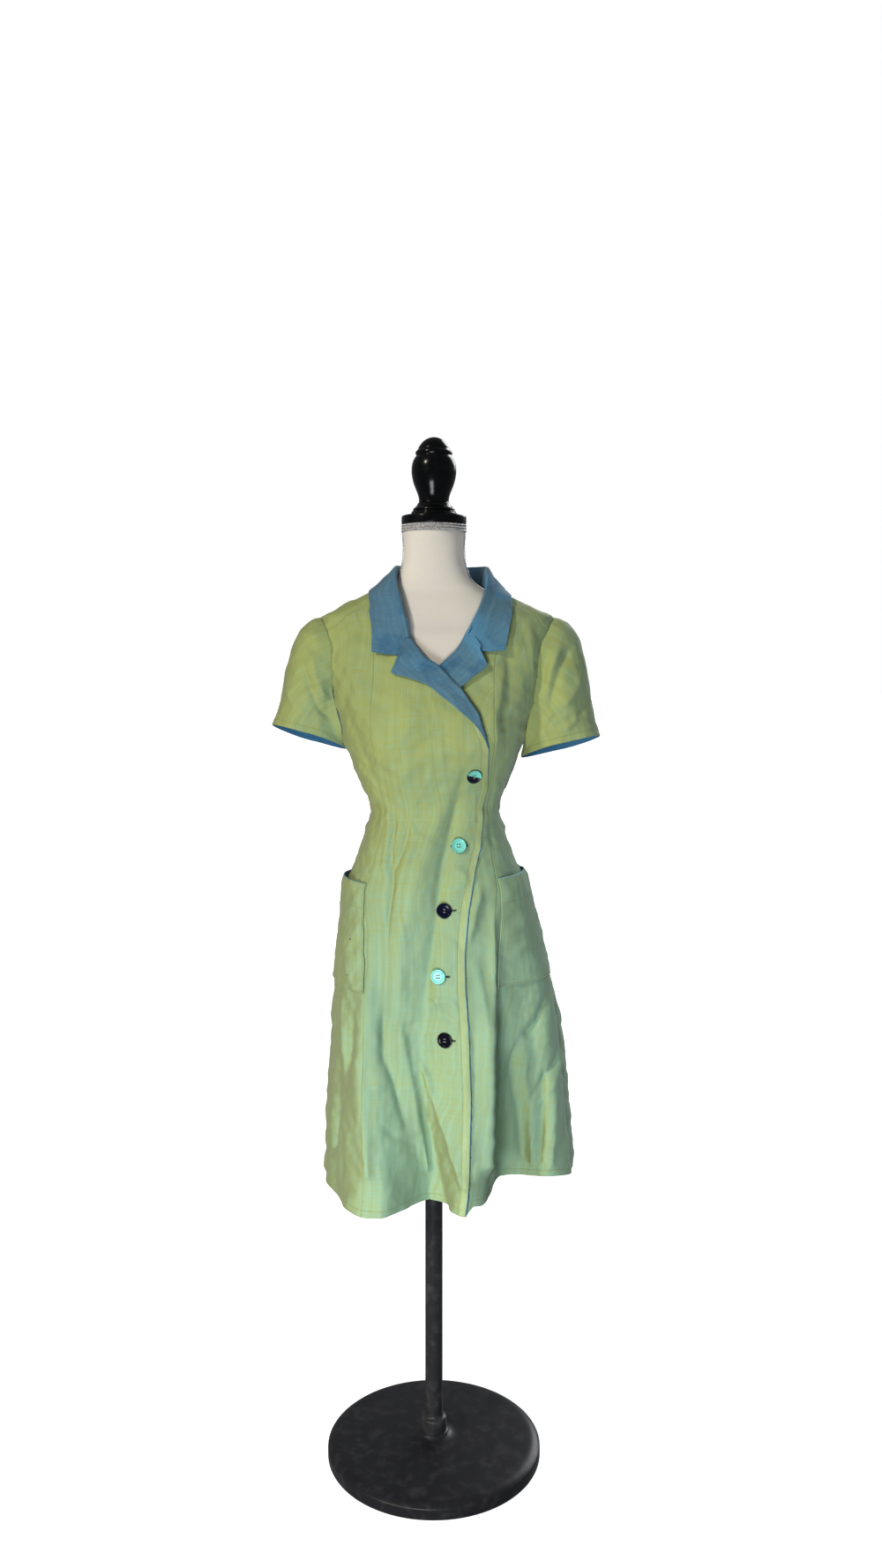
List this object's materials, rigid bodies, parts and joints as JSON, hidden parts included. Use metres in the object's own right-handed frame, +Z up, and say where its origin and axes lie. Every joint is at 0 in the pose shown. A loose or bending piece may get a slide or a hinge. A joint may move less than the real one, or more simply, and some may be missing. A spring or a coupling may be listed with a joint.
{
  "type": "tunic dress on a limbless dress form",
  "caption": "Knee-length short-sleeved green linen tunic dress with blue collar, slanting button front and side pockets, on a dress form.",
  "frame": {"origin": "centre of the underside of the stand's round base, on the floor", "axes": "+Z up along the pole and the neck, -Y toward the front of the dress, +X toward the viewer's right, the wearer's left"},
  "size_m": [0.523, 0.3463, 1.632],
  "materials": {
    "green_linen": "matte",
    "blue_linen": "matte",
    "turquoise_button": "glossy",
    "dark_button": "glossy",
    "ivory_jersey": "matte",
    "beaded_braid": "satin",
    "black_wood": "glossy",
    "black_metal": "glossy"
  },
  "bodies": {
    "root": {"front_right": "green_linen", "side_front_right": "green_linen", "front_left": "green_linen", "side_front_left": "green_linen", "back": "green_linen", "yoke": "green_linen", "sleeve_right": "green_linen", "sleeve_left": "green_linen", "pocket_right": "green_linen", "pocket_left": "green_linen", "collar": "blue_linen", "lapel_right": "blue_linen", "lapel_left": "blue_linen", "button_1": "dark_button", "button_2": "turquoise_button", "button_3": "dark_button", "button_4": "turquoise_button", "button_5": "dark_button", "form": "ivory_jersey", "neck_braid": "beaded_braid", "neck_cap": "black_wood", "finial": "black_wood", "pole": "black_metal", "base": "black_metal"}
  },
  "joints": []
}
